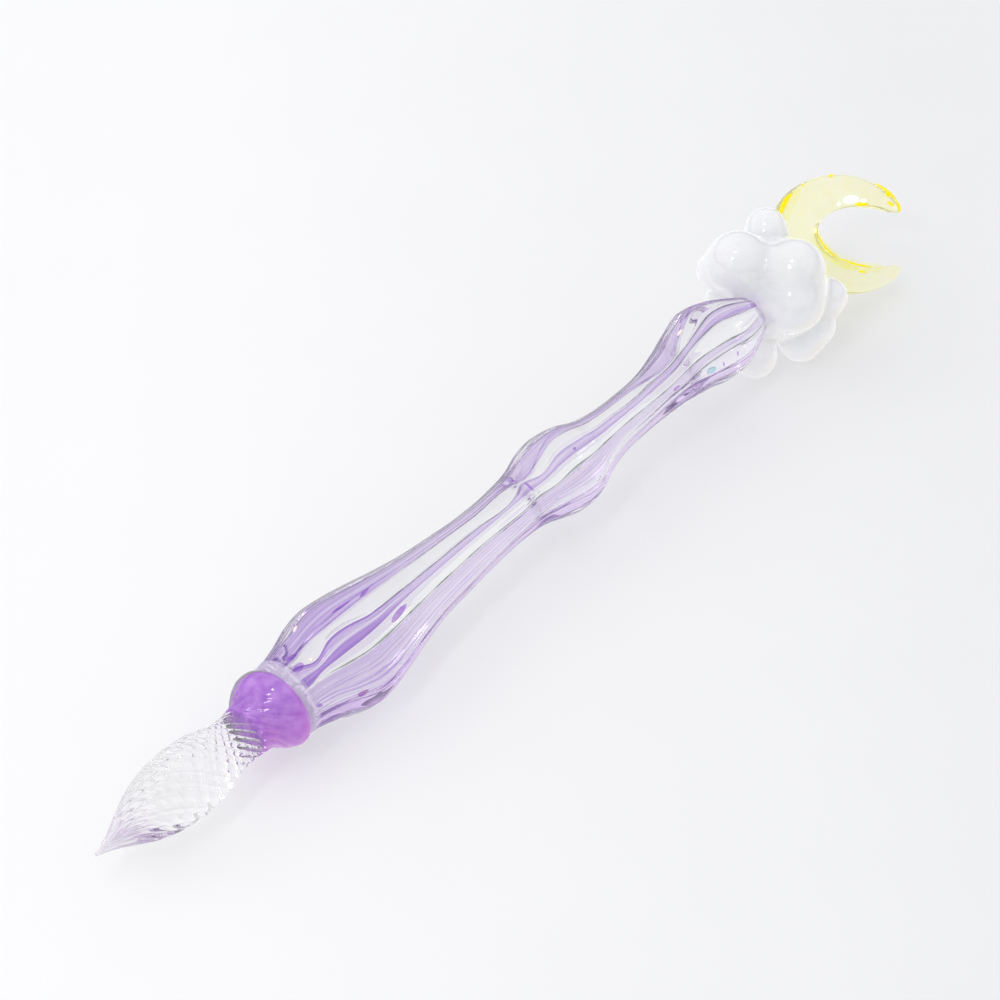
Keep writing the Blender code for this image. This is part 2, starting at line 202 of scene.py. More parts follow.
# Cloud: distance from the tip, around, out, radius. The first is the lump in the middle.
PUFFS = [
    (142.0, 35, 0.80, 7.60), (137.7, 54, 7.70, 4.75), (141.9, 114, 6.45, 4.65),
    (139.4, 154, 5.30, 4.45), (136.8, 22, 8.65, 2.85), (146.0, 48, 8.65, 3.30),
    (147.5, 199, 5.30, 2.90), (144.2, 222, 7.70, 2.55), (142.4, 243, 8.46, 3.30),
    (135.1, 261, 7.32, 3.30), (142.0, 312, 8.32, 4.65), (143.5, 0, 7.90, 3.75),
    (147.5, 281, 6.05, 3.55), (137.5, 339, 6.60, 3.45),
]
CLOUD_VOXEL = 0.28
CLOUD_FILLET = 0.8  # how softly the puffs run together, mm
CLOUD_SHRINK = 0.22  # makes up for what the puffs gain where they run together, mm
CLOUD_ROUGH_GROWTH = 0.3  # how much larger the balls are before their skin settles, mm
CLOUD_BALL = (24, 36)  # bands and points round
CLOUD_STEPS = 14
CLOUD_LONGEST_STEP = 0.5  # mm
CLOUD_LEAST_SLOPE = 0.2  # keeps a step short in a crease, where the puffs pull apart
WARM_SIDE = (0.45, -0.60, -0.66)  # the side away from the light, where the opal glass and the collar get a painted warmer tint
VIOLET_RUN = (135.6, -0.5, 2.4)  # where the violet runs into the cloud
VIOLET_RUN_REACH = 2.7  # mm

# Moon: it lies in the plane of the pen's axis and MOON_WIDE_AROUND, and opens at an angle to the axis.
MOON_MIDDLE = (158.2, -0.1, -1.05)  # along the axis, in its plane across the axis, and out of its plane
MOON_WIDE_AROUND = 230.0
MOON_THICK_AROUND = 140.0
MOON_OPENS = 32.0
MOON_OUTER = (0.3, -0.45, 12.95, 8.9)  # an ellipse: its middle towards the opening and across, its half axes
MOON_INNER = (4.8, -0.2, 10.2, 4.55)
MOON_OUTER_ENDS = (-27.0, -325.0)  # where on its ellipse each edge starts and ends, in degrees
MOON_INNER_ENDS = (-51.0, -304.0)
MOON_THICK = 2.05  # half its thickness in the middle
MOON_THIN = 0.72  # and at its points
MOON_SWELL = 0.7  # the lower, the further its thickness reaches towards the points
MOON_SQUARENESS = 0.55  # its section is round at 1 and square at 0
MOON_STATIONS = 140
MOON_POINTS = 56
MOON_TAPER = 0.12
MARK_STATIONS = 24
MARK_POINTS = 14
MARK_FLATNESS = 0.45
MARK_END = 0.004  # keeps a mark's ends from closing to nothing

# Deep yellow left in the moon: from and to along it (0 is the upper point, 1 the lower), degrees round its
# section (180 is the inner edge, 270 the face towards the viewer, 360 the outer edge), and half width in mm.
MOON_STREAKS = [
    (0.52, 0.70, 209, 0.28), (0.70, 0.86, 204, 0.24), (0.38, 0.46, 345, 0.50),
    (0.0, 0.035, 290, 0.40), (0.065, 0.085, 290, 0.45), (0.02, 0.115, 338, 0.40),
    (0.045, 0.075, 262, 0.30), (0.155, 0.215, 214, 0.34), (0.243, 0.257, 325, 0.30),
    (0.335, 0.345, 335, 0.20), (0.80, 0.83, 255, 0.20),
]
MOON_WASHES = [(0.48, 0.92, 222, 1.00), (0.50, 0.80, 240, 1.00), (0.36, 0.50, 318, 0.80)]
# White painted highlights on the moon, with the same columns as MOON_STREAKS.
MOON_GLINTS = [(0.195, 0.265, 246, 0.62), (0.165, 0.19, 238, 0.30), (0.28, 0.297, 240, 0.28)]

# View and light
LIT_SIDE = (-0.60, 0.70, 0.39)  # towards the key light
# the dark colour of the painted shade on the glass's rims
PAINTED_RIM_SHADE = (0.11, 0.115, 0.11)
WHITE = (1.0, 1.0, 1.0)
PATCHY_GLASSES = {  # what it lets through in its patches, then its opaque colour, opaque share and glow, which is painted light
    "shoulder_glass": ((0.95, 0.92, 0.98), (0.99, 0.98, 1.0), (0.74, 0.69, 0.82), 0.30, 0.20),
    "dark_seam": ((0.60, 0.63, 0.60), (0.76, 0.79, 0.76), (0.30, 0.32, 0.30), 0.05, 0.0),
    # painted highlight: a pale glint
    "pale_painted_glint": ((1.0, 0.93, 0.88), WHITE, (1.0, 0.90, 0.84), 0.75, 0.2),
    "violet_drop": ((0.76, 0.58, 0.92), (0.90, 0.80, 0.97), (0.60, 0.36, 0.88), 0.1, 0.0),
    "dark_drop": ((0.76, 0.60, 0.84), (0.92, 0.76, 0.88), (0.50, 0.22, 0.60), 0.12, 0.0),
    # painted reflection: a cyan glint
    "painted_cyan_glint": ((0.80, 0.93, 0.97), (0.97, 1.0, 1.0), (0.58, 0.82, 0.91), 0.4, 0.15),
    "deep_yellow": ((1.0, 0.96, 0.22), (1.0, 0.96, 0.40), (1.0, 0.85, 0.0), 0.42, 0.3),
    "yellow_wash": ((1.0, 0.995, 0.82), (1.0, 1.0, 0.96), (1.0, 0.97, 0.60), 0.0, 0.0),
    # painted highlight on the moon
    "pale_glint": ((1.0, 1.0, 0.96), WHITE, (1.0, 1.0, 0.97), 0.8, 0.5),
}
FLOOR_REACH = 3.0  # metres
FLOOR_FADE = (3.225, -3.82, 0.0)  # the way along which the floor gets dimmer, per metre
FLOOR_DROP = 0.05  # mm
WORLD_STRENGTH = 0.84
LIGHTS = {  # place, what it points at, size across, power, colour
    "key": ((-0.5, 0.55, 0.75), (0.0, 0.0, 0.0), 0.9, 2.45, (1.0, 0.985, 0.97)),
    "window_left": ((-0.55, -0.10, 0.72), (0.07, 0.0, 0.01), 0.18, 0.8, WHITE),
    "window_right": ((-0.22, -0.02, 0.86), (0.07, 0.0, 0.01), 0.12, 0.40, WHITE),
}
CAMERA_PLACE = (-0.33908, -0.28590, 0.41150)
CAMERA_TARGET = (-0.001503, 0.002600, 0.008)
CAMERA_LENS = 155.59
CAMERA_SENSOR = 36.0
CAMERA_CLIP = 0.01


def smooth_read(rows, at, column=1):
    """A smooth curve through one column of the rows, read at these distances from the tip."""
    table = np.array(rows, float)
    where = table[:, 0]
    height = table[:, column]
    slope = np.gradient(height, where)
    at = np.clip(np.asarray(at, float), where[0], where[-1])
    left = np.clip(np.searchsorted(where, at, side="right") - 1, 0, len(where) - 2)
    span = where[left + 1] - where[left]
    t = (at - where[left]) / span
    rise = height[left + 1] - height[left]
    first = slope[left] * span - rise
    second = rise - slope[left + 1] * span
    return height[left] + t * rise + t * (1 - t) * ((1 - t) * first + t * second)


def tip_of_nib():
    """The tip's place in the frame: the middle of the nib's lowest ring along the pen's axis."""
    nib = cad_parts["nib"]
    points = np.array([nib.matrix_world @ vertex.co for vertex in nib.data.vertices])
    axis = np.array([math.cos(AXIS_CLIMB), 0.0, math.sin(AXIS_CLIMB)])
    reach = points @ axis
    ring = points[reach < reach.min() + TIP_RING * MM]
    return (ring.min(axis=0) + ring.max(axis=0)) / 2


def to_frame(points):
    """Points in millimetres on the pen (along, +Y, +Z about its axis) as metres in the frame."""
    points = np.asarray(points, float) * MM
    climb, level = math.sin(AXIS_CLIMB), math.cos(AXIS_CLIMB)
    turned = np.stack(
        [
            points[..., 0] * level - points[..., 2] * climb,
            points[..., 1],
            points[..., 0] * climb + points[..., 2] * level,
        ],
        axis=-1,
    )
    return turned + TIP


def polar(along, around, out):
    """Points from a distance along, an angle around in degrees and a distance out."""
    turn = np.radians(around)
    return np.stack(np.broadcast_arrays(along, out * np.cos(turn), out * np.sin(turn)), axis=-1)


def placed(name, data):
    """A new object in the scene."""
    item = bpy.data.objects.new(name, data)
    bpy.context.scene.collection.objects.link(item)
    return item


def make_piece(name, points, faces, material, uv=None):
    """A smooth-shaded mesh piece that rides on the pen's one body."""
    mesh = bpy.data.meshes.new(name)
    mesh.from_pydata(points.tolist(), [], faces)
    if uv is not None:
        layer = mesh.uv_layers.new(name="UVMap")
        corners = np.empty(len(mesh.loops), np.int32)
        mesh.loops.foreach_get("vertex_index", corners)
        layer.data.foreach_set("uv", uv[corners].astype(np.float32).ravel())
    mesh.materials.append(material)
    mesh.polygons.foreach_set("use_smooth", np.ones(len(mesh.polygons), bool))
    mesh.update()
    turn_outward(mesh)
    piece = placed(name, mesh)
    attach(piece, "root")
    return piece


def turn_outward(mesh):
    mesh.calc_loop_triangles()
    corners = np.empty(len(mesh.loop_triangles) * 3, np.int32)
    mesh.loop_triangles.foreach_get("vertices", corners)
    points = np.empty(len(mesh.vertices) * 3, np.float32)
    mesh.vertices.foreach_get("co", points)
    corner = points.reshape(-1, 3).astype(float)[corners.reshape(-1, 3)]
    volume = np.einsum("ij,ij->i", corner[:, 0], np.cross(corner[:, 1], corner[:, 2])).sum()
    if volume < 0:
        mesh.flip_normals()


def ring_faces(count, size, closed=False):
    """Faces between neighbouring rings, and from the last ring to the first if the band is closed."""
    faces = []
    for band in range(count if closed else count - 1):
        here = band * size
        there = (band + 1) % count * size
        for step in range(size):
            after = (step + 1) % size
            faces.append((here + step, here + after, there + after, there + step))
    return faces


def skin(name, rings, material, across=None, along=None):
    """A closed skin over rings (rings, points, 3) in millimetres on the pen, capped at both ends."""
    count, size = rings.shape[:2]
    start = rings[0].mean(axis=0)
    end = rings[-1].mean(axis=0)
    points = to_frame(np.concatenate([rings.reshape(-1, 3), [start, end]]))
    faces = ring_faces(count, size)
    last = (count - 1) * size
    for step in range(size):
        after = (step + 1) % size
        faces.append((count * size, after, step))
        faces.append((count * size + 1, last + step, last + after))
    uv = None
    if across is not None:
        grid = np.stack(np.broadcast_arrays(across[None, :], along[:, None]), axis=-1).reshape(-1, 2)
        middle = float(across.mean())
        uv = np.concatenate([grid, [(middle, along[0]), (middle, along[-1])]])
    return make_piece(name, points, faces, material, uv)


def new_material(name):
    material = bpy.data.materials.new(name)
    material.use_nodes = True
    material.node_tree.nodes.clear()
    output = material.node_tree.nodes.new("ShaderNodeOutputMaterial")
    return material, material.node_tree, output


def show(shader, output):
    """Puts this shader on the material's surface."""
    output.id_data.links.new(shader.outputs["BSDF"], output.inputs["Surface"])


def principled(tree, settings):
    """A Principled shader with these plain settings."""
    shader = tree.nodes.new("ShaderNodeBsdfPrincipled")
    for socket, value in settings.items():
        shader.inputs[socket].default_value = value
    return shader


def noise(tree, vector, scale, detail=2.0, distortion=0.0):
    texture = tree.nodes.new("ShaderNodeTexNoise")
    texture.inputs["Scale"].default_value = scale
    texture.inputs["Detail"].default_value = detail
    texture.inputs["Distortion"].default_value = distortion
    tree.links.new(vector, texture.inputs["Vector"])
    return texture.outputs["Fac"]


def stretched(tree, source, scale, moved=(0.0, 0.0, 0.0)):
    mapping = tree.nodes.new("ShaderNodeMapping")
    mapping.inputs["Scale"].default_value = scale
    mapping.inputs["Location"].default_value = moved
    tree.links.new(source, mapping.inputs["Vector"])
    return mapping.outputs["Vector"]


def coordinate(tree, kind):
    return tree.nodes.new("ShaderNodeTexCoord").outputs[kind]


def part_of(tree, vector, axis):
    """One axis of a vector. In a UV map X runs round or across a piece, and Y along it in millimetres."""
    parts = tree.nodes.new("ShaderNodeSeparateXYZ")
    tree.links.new(vector, parts.inputs["Vector"])
    return parts.outputs[axis]


def spread(tree, value, start, end, low=0.0, high=1.0, smooth=False):
    """Takes start to end to low to high, and holds the ends."""
    node = tree.nodes.new("ShaderNodeMapRange")
    if smooth:
        node.interpolation_type = "SMOOTHSTEP"
    for socket, number in (("From Min", start), ("From Max", end), ("To Min", low), ("To Max", high)):
        node.inputs[socket].default_value = number
    tree.links.new(value, node.inputs["Value"])
    return node.outputs["Result"]


def fill(tree, socket, value):
    """Gives a socket a plain number or colour, or links it."""
    if isinstance(value, float):
        socket.default_value = value
    elif isinstance(value, tuple):
        socket.default_value = (*value, 1.0)
    else:
        tree.links.new(value, socket)


def calculated(tree, operation, *values):
    node = tree.nodes.new("ShaderNodeMath")
    node.operation = operation
    for socket, value in zip(node.inputs, values):
        fill(tree, socket, value)
    return node.outputs["Value"]


def compared(tree, operation, vector, other):
    """One number from a vector and a fixed one: their dot product or their distance."""
    node = tree.nodes.new("ShaderNodeVectorMath")
    node.operation = operation
    node.inputs[1].default_value = other
    tree.links.new(vector, node.inputs[0])
    return node.outputs["Value"]


def facing(tree, direction):
    """How far the surface faces this direction."""
    return compared(tree, "DOT_PRODUCT", tree.nodes.new("ShaderNodeNewGeometry").outputs["Normal"], direction)


def ramp(tree, value, stops):
    """A colour ramp with (place, colour) stops."""
    node = tree.nodes.new("ShaderNodeValToRGB")
    tree.links.new(value, node.inputs["Fac"])
    elements = node.color_ramp.elements
    while len(elements) > 1:
        elements.remove(elements[-1])
    elements[0].position = stops[0][0]
    elements[0].color = (*stops[0][1], 1.0)
    for place, colour in stops[1:]:
        element = elements.new(place)
        element.color = (*colour, 1.0)
    return node.outputs["Color"]


def mixed(tree, share, first, second, blend="MIX"):
    """A colour between two, each a socket or a plain colour."""
    node = tree.nodes.new("ShaderNodeMix")
    node.data_type = "RGBA"
    node.blend_type = blend
    for socket, value in ((node.inputs["Factor"], share), (node.inputs[6], first), (node.inputs[7], second)):
        fill(tree, socket, value)
    return node.outputs[2]


def mixed_shaders(tree, share, first, second):
    mix = tree.nodes.new("ShaderNodeMixShader")
    fill(tree, mix.inputs["Fac"], share)
    tree.links.new(first, mix.inputs[1])
    tree.links.new(second, mix.inputs[2])
    return mix.outputs["Shader"]


def see_through(tree, tint):
    """A transparent surface that tints what is behind it."""
    through = tree.nodes.new("ShaderNodeBsdfTransparent")
    tree.links.new(tint, through.inputs["Color"])
    return through.outputs["BSDF"]


def bump(tree, height, strength, distance):
    node = tree.nodes.new("ShaderNodeBump")
    node.inputs["Strength"].default_value = strength
    node.inputs["Distance"].default_value = distance
    tree.links.new(height, node.inputs["Height"])
    return node.outputs["Normal"]


def absorb(tree, output, colour, density):
    """Glass that takes up light as it passes, more so the thicker it is."""
    volume = tree.nodes.new("ShaderNodeVolumeAbsorption")
    volume.inputs["Color"].default_value = (*colour, 1.0)
    volume.inputs["Density"].default_value = density
    tree.links.new(volume.outputs["Volume"], output.inputs["Volume"])


def rim(tree, start, end, low):
    """Painted rim shade: 1 on the rims that face the light's side, less on the others, and 0 where the
    surface faces out.
    """
    layer = tree.nodes.new("ShaderNodeLayerWeight")
    layer.inputs["Blend"].default_value = 0.5
    edge = spread(tree, layer.outputs["Facing"], start, end, smooth=True)
    turned = spread(tree, facing(tree, LIT_SIDE), -0.2, 0.5, low=low)
    return calculated(tree, "MULTIPLY", edge, turned)


def clear_glass(name, tint, ior, wave_scale):
    """Colourless glass with faint waves left by the flame, as (material, tree, output, shader, colour)."""
    material, tree, output = new_material(name)
    shader = principled(tree, {"Transmission Weight": 1.0, "IOR": ior, "Roughness": 0.0})
    waves = noise(tree, stretched(tree, coordinate(tree, "Object"), (0.4, 1.0, 1.0)), wave_scale)
    tree.links.new(bump(tree, waves, 0.02, 0.2 * MM), shader.inputs["Normal"])
    return material, tree, output, shader, ramp(tree, waves, [(0.3, tint), (0.7, WHITE)])


def handle_glass():
    """Clear glass with painted shade on its rims, darkest on the side towards the light."""
    material, tree, output, shader, colour = clear_glass("rib_glass", (0.975, 0.98, 0.985), 1.40, 140.0)
    start = spread(tree, part_of(tree, coordinate(tree, "UV"), "Y"), RIM_FROM, RIM_TO)
    # painted shade: the rims darken from RIM_FROM on, most on the side towards the light
    share = calculated(tree, "MULTIPLY", rim(tree, 0.60, 0.76, 0.10), start)
    tree.links.new(mixed(tree, share, colour, PAINTED_RIM_SHADE), shader.inputs["Base Color"])
    show(shader, output)
    return material


def nib_glass():
    """Clear glass with fine grey lines down its flutes, and a rough white haze near its end with a painted
    glow.
    """
    material, tree, output, shader, colour = clear_glass("nib_glass", (0.985, 0.985, 0.99), 1.28, 300.0)
    flow = stretched(tree, coordinate(tree, "UV"), (FLUTES * NIB_LINES_PER_FLUTE, 0.05, 1.0))
    lines = ramp(tree, noise(tree, flow, 1.0), [(0.36, (0.60, 0.60, 0.60)), (0.47, (0.0, 0.0, 0.0))])
    tree.links.new(mixed(tree, lines, colour, (0.82, 0.82, 0.83)), shader.inputs["Base Color"])
    along = part_of(tree, coordinate(tree, "UV"), "Y")
    haze = spread(tree, along, FROST_GLOW_TO, FROST_GLOW_FROM, high=FROST_GLOW_SHARE, smooth=True)
    settings = {
        "Roughness": 0.4, "Base Color": (0.60, 0.58, 0.62, 1.0),
        "Emission Color": (0.90, 0.87, 0.93, 1.0), "Emission Strength": 0.35,
    }
    # painted light: the haze glows a little
    frost_and_glow = principled(tree, settings)
    surface = mixed_shaders(tree, haze, shader.outputs["BSDF"], frost_and_glow.outputs["BSDF"])
    tree.links.new(surface, output.inputs["Surface"])
    return material


def root_glass():
    """Pale glass with a painted glow that stands in for the light coming down the nib."""
    material, tree, output = new_material("root_glass")
    shader = principled(tree, {"Roughness": 0.5, "Emission Strength": 0.55})
    clouds = noise(tree, coordinate(tree, "Object"), 900.0)
    colour = ramp(tree, clouds, [(0.46, (0.86, 0.74, 0.96)), (0.58, (0.96, 0.95, 0.98))])
    tree.links.new(colour, shader.inputs["Base Color"])
    tree.links.new(colour, shader.inputs["Emission Color"])
    show(shader, output)
    return material


def taken(depth, takes):
    """The colour left of white light when glass this deep has taken its share."""
    return tuple(math.exp(-depth * share) for share in takes)


def cane_glass(number):
    """Violet glass in bands across the cane, drawn out into streaks and fused into the clear glass."""
    seen = number in CANE_BANDS
    bands = CANE_BANDS[number] if seen else HIDDEN_BANDS
    takes = PINK_VIOLET if number == 4 else VIOLET
    material, tree, output = new_material(f"cane_glass_{number}")
    uv = coordinate(tree, "UV")
    flow = stretched(tree, uv, (1.6, 0.075, 1.0), (number * 3.7, number * 1.3, 0.0))
    across = spread(tree, part_of(tree, uv, "X"), -1.0, 1.0)
    stray = calculated(tree, "MULTIPLY_ADD", noise(tree, flow, 1.0), BAND_WANDER, across)
    place = calculated(tree, "SUBTRACT", stray, BAND_WANDER / 2)
    banded = ramp(tree, place, [(at, taken(depth, takes)) for at, depth in bands])
    fine = stretched(tree, uv, (7.0, 0.04, 1.0), (number * 2.1, number * 5.3, 0.0))
    streaks = noise(tree, fine, 1.0, 3.0, 0.4)
    drawn = ramp(tree, streaks, [(0.34, taken(1.3, takes)), (0.44, taken(0.45, takes)), (0.54, WHITE)])
    tint = mixed(tree, STREAKY.get(number, HIDDEN_STREAKY), banded, drawn, "MULTIPLY")
    fade = spread(tree, part_of(tree, uv, "Y"), PALER_FROM, PALER_TO, high=PALER if seen else 0.0)
    milk = principled(tree, {"Roughness": 0.25})
    milk_colour = ramp(tree, streaks, [(0.3, (0.62, 0.44, 0.92)), (0.7, (0.86, 0.78, 1.0))])
    tree.links.new(milk_colour, milk.inputs["Base Color"])
    through = see_through(tree, mixed(tree, fade, tint, WHITE))
    surface = mixed_shaders(tree, MILKY if seen else HIDDEN_MILKY, through, milk.outputs["BSDF"])
    tree.links.new(surface, output.inputs["Surface"])
    absorb(tree, output, (0.58, 0.34, 0.84), 30.0)
    return material


def patchy_glass(name):
    """See-through glass with patches, and a share that is opaque."""
    deep, pale, solid, solid_share, glow = PATCHY_GLASSES[name]
    material, tree, output = new_material(name)
    patches = noise(tree, coordinate(tree, "Object"), 900.0)
    settings = {
        "Roughness": 0.15, "Base Color": (*solid, 1.0),
        "Emission Color": (*solid, 1.0), "Emission Strength": glow,
    }
    body = principled(tree, settings)
    through = see_through(tree, ramp(tree, patches, [(0.35, deep), (0.65, pale)]))
    surface = mixed_shaders(tree, solid_share, through, body.outputs["BSDF"])
    tree.links.new(surface, output.inputs["Surface"])
    return material


def air_bubble():
    """A bubble of air, which bends light the other way from the glass round it."""
    material, tree, output = new_material("air_bubble")
    shader = principled(tree, {"Transmission Weight": 1.0, "IOR": 0.72, "Roughness": 0.0})
    veil = noise(tree, coordinate(tree, "Object"), 2000.0)
    tree.links.new(ramp(tree, veil, [(0.3, (0.96, 0.97, 0.94)), (0.7, WHITE)]), shader.inputs["Base Color"])
    show(shader, output)
    return material


def collar_glass():
    """Deep violet glass: a painted glow, a painted pink tint away from the light, painted shade along its lit
    rim.
    """
    material, tree, output = new_material("collar_glass")
    settings = {
        "Roughness": 0.12, "Coat Weight": 0.5, "Coat Roughness": 0.03,
        "Subsurface Weight": 0.6, "Subsurface Radius": (0.9, 0.6, 1.0), "Subsurface Scale": 2.0 * MM,
        "Emission Strength": 0.34,
    }
    # the glow set above is painted light
    shader = principled(tree, settings)
    clouds = noise(tree, coordinate(tree, "Object"), 700.0, 4.0)
    colour = ramp(tree, clouds, [(0.32, (0.27, 0.095, 0.45)), (0.70, (0.39, 0.19, 0.55))])
    # painted: pinker where the surface faces away from the light
    colour = mixed(tree, spread(tree, facing(tree, WARM_SIDE), -0.2, 0.9), colour, (0.42, 0.12, 0.50))
    # painted shade: dark along the rim on the light's side
    colour = mixed(tree, rim(tree, 0.54, 0.74, 0.0), colour, (0.03, 0.025, 0.035))
    tree.links.new(colour, shader.inputs["Emission Color"])
    tree.links.new(colour, shader.inputs["Base Color"])
    show(shader, output)
    return material


def opal_glass():
    """Milky white glass, a painted glow and a painted warm tint away from the light; violet where the handle
    runs into it.
    """
    material, tree, output = new_material("opal_glass")
    settings = {
        "Roughness": 0.05, "Coat Weight": 1.0, "Coat Roughness": 0.02,
        "Emission Color": (0.96, 0.97, 1.0, 1.0), "Emission Strength": 0.40,
        "Transmission Weight": 0.12, "IOR": 1.45,
        "Subsurface Weight": 1.0, "Subsurface Radius": (1.0, 0.95, 0.85), "Subsurface Scale": 9.0 * MM,
    }
    # the glow set above is painted light that flattens the shading
    shader = principled(tree, settings)
    clouds = noise(tree, coordinate(tree, "Object"), 160.0, 3.0)
    colour = ramp(tree, clouds, [(0.38, (0.40, 0.405, 0.425)), (0.60, (0.45, 0.45, 0.465))])
    # painted: warmer where the surface faces away from the light
    colour = mixed(tree, spread(tree, facing(tree, WARM_SIDE), 0.1, 0.9), colour, (0.47, 0.44, 0.35))
    reach = compared(tree, "DISTANCE", coordinate(tree, "Object"), tuple(to_frame(VIOLET_RUN)))
    run = spread(tree, reach, VIOLET_RUN_REACH * MM, 0.25 * VIOLET_RUN_REACH * MM, smooth=True)
    tree.links.new(mixed(tree, run, colour, (0.36, 0.27, 0.46)), shader.inputs["Base Color"])
    folds = noise(tree, coordinate(tree, "Object"), 230.0, 3.0, 0.5)
    tree.links.new(bump(tree, folds, 0.5, 0.8 * MM), shader.inputs["Normal"])
    show(shader, output)
    return material


def moon_glass():
    """Pale yellow glass, cloudy inside and deeper at its edges, with a faint painted glow that brightens it.
    """
    material, tree, output = new_material("moon_glass")
    settings = {
        "Transmission Weight": 0.85, "IOR": 1.35, "Roughness": 0.03,
        "Emission Color": (1.0, 0.98, 0.75, 1.0), "Emission Strength": 0.04,
    }
    shader = principled(tree, settings)
    clouds = noise(tree, coordinate(tree, "Object"), 260.0, 4.0, 0.6)
    colour = ramp(
        tree, clouds, [(0.35, (0.985, 0.97, 0.74)), (0.50, (0.985, 0.98, 0.84)), (0.66, (0.99, 0.99, 0.94))]
    )
    flat_side = tuple((to_frame(polar(0.0, MOON_THICK_AROUND, 1.0)) - TIP) / MM)
    edge = spread(tree, calculated(tree, "ABSOLUTE", facing(tree, flat_side)), 0.8, 0.3)
    tree.links.new(mixed(tree, edge, colour, (1.0, 0.98, 0.55)), shader.inputs["Base Color"])
    show(shader, output)
    absorb(tree, output, (0.998, 0.99, 0.30), 65.0)
    return material


def handle_middle(along):
    return polar(0.0, WANDER_AROUND, smooth_read(HANDLE_OUTLINE, along, 2))


def cane_edges(along):
    """Where every cane starts and ends at these distances, in degrees around."""
    return [FRONT + smooth_read(rows, along, column) for rows in CANES.values() for column in (1, 2)]


def handle_surface(along, around):
    """The clear glass's surface: the outline, with a shallow groove along each edge of each cane."""
    groove = 0.0
    for edge in cane_edges(along):
        apart = (around - edge + 180.0) % 360.0 - 180.0
        groove = groove + np.exp(-((apart / GROOVE_WIDTH) ** 2))
    return smooth_read(HANDLE_OUTLINE, along) * (1.0 - GROOVE_DEPTH * np.minimum(groove, 1.0))


def make_nib(material):
    along = np.linspace(0.0, NIB_OUTLINE[-1][0], NIB_RINGS)
    count = FLUTES * NIB_POINTS_PER_FLUTE
    around = np.arange(count) * 360.0 / count
    crest = np.abs(np.cos(np.radians(FLUTES * around / 2)))
    depth = smooth_read(NIB_FLUTE_DEPTH, along)
    out = smooth_read(NIB_OUTLINE, along)[:, None] * (1.0 - depth[:, None] * (1.0 - crest[None, :]))
    twist = smooth_read(NIB_TWIST, along)
    rings = polar(along[:, None], around[None, :] + twist[:, None], out)
    nib = skin("nib_glass", rings, material, around / 360.0, along)
    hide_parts("nib")


def make_nib_root(material):
    """The pale face where the nib is fused to the collar."""
    along, out = np.array(ROOT_OUTLINE).T
    around = np.arange(ROOT_POINTS) * 360.0 / ROOT_POINTS
    root = skin("nib_root", polar(along[:, None], around[None, :], out[:, None]), material)


def make_collar(material):
    start = COLLAR_OUTLINE[0][0]
    end = COLLAR_OUTLINE[-1][0]
    along = np.linspace(start, end, COLLAR_RINGS)
    around = np.arange(COLLAR_POINTS) * 360.0 / COLLAR_POINTS
    twist = smooth_read(NIB_TWIST, along)[:, None]
    crest = np.abs(np.cos(np.radians(FLUTES * (around[None, :] - twist) / 2)))
    depth = COLLAR_FLUTE_DEPTH * np.clip((COLLAR_FLUTES_END - along) / COLLAR_FLUTES_FADE, 0.0, 1.0)[:, None]
    out = smooth_read(COLLAR_OUTLINE, along)[:, None] * (1.0 - depth * (1.0 - crest))
    first, last = COLLAR_LEAN_EASE
    ease = np.clip((end - along) / last, 0.0, 1.0) * np.clip((along - start) / first, 0.0, 1.0)
    lean = COLLAR_LEAN * ease[:, None] * np.cos(np.radians(around - COLLAR_LEANS_TO))[None, :]
    rings = polar(along[:, None] + lean, around[None, :], out)
    collar = skin("collar_bead", rings, material, around / 360.0, along)
    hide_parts("collar")


def make_handle(material):
    along = np.linspace(HANDLE_OUTLINE[0][0], HANDLE_OUTLINE[-1][0], HANDLE_RINGS)
    around = np.arange(HANDLE_POINTS) * 360.0 / HANDLE_POINTS
    out = handle_surface(along[:, None], around[None, :])
    rings = polar(along[:, None], around[None, :], out) + handle_middle(along)[:, None, :]
    handle = skin("handle_glass", rings, material, around / 360.0, along)
    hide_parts("core_rod", *[f"clear_rib_{number}" for number in CANES])


def strip(name, along, first, last, proud, depth, fade, material):
    """A strip in the handle's skin: full in the middle, thinning fast at its two edges and at its ends."""
    count = max(CANE_LEAST_ACROSS, min(CANE_ACROSS, int(4 + (last - first).max())))
    share = np.sin(np.linspace(-math.pi / 2, math.pi / 2, count))
    around = ((first + last) / 2)[:, None] + ((last - first) / 2)[:, None] * share[None, :]
    surface = handle_surface(along[:, None], around)
    deep = depth * smooth_read(HANDLE_OUTLINE, along)[:, None]
    body = np.sqrt(np.clip(1.0 - share[None, :] ** 4, 0.0, 1.0))
    ends = np.sqrt(np.clip(np.minimum(along - along[0], along[-1] - along) / fade, 0.0, 1.0))[:, None]
    top = surface + proud * np.maximum(ends, STRIP_END_PROUD)
    low = top - STRIP_LEAST - (deep * body + STRIP_EDGE) * np.maximum(ends, STRIP_END_DEEP)
    outer = polar(along[:, None], around, top)
    inner = polar(along[:, None], around, low)[:, ::-1]
    rings = np.concatenate([outer, inner], axis=1) + handle_middle(along)[:, None, :]
    across = np.concatenate([share, share[::-1]])
    return skin(name, rings, material, across, along)


def cane_span(number, along):
    rows = CANES[number]
    return FRONT + smooth_read(rows, along, 1), FRONT + smooth_read(rows, along, 2)


def make_cane(number, material):
    rows = CANES[number]
    along = np.linspace(rows[0][0], rows[-1][0], CANE_RINGS)
    first, last = cane_span(number, along)
    cane = strip(f"cane_{number}", along, first, last, PROUD, CANE_DEPTH, CANE_END, material)
    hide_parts(f"violet_cane_{number}")


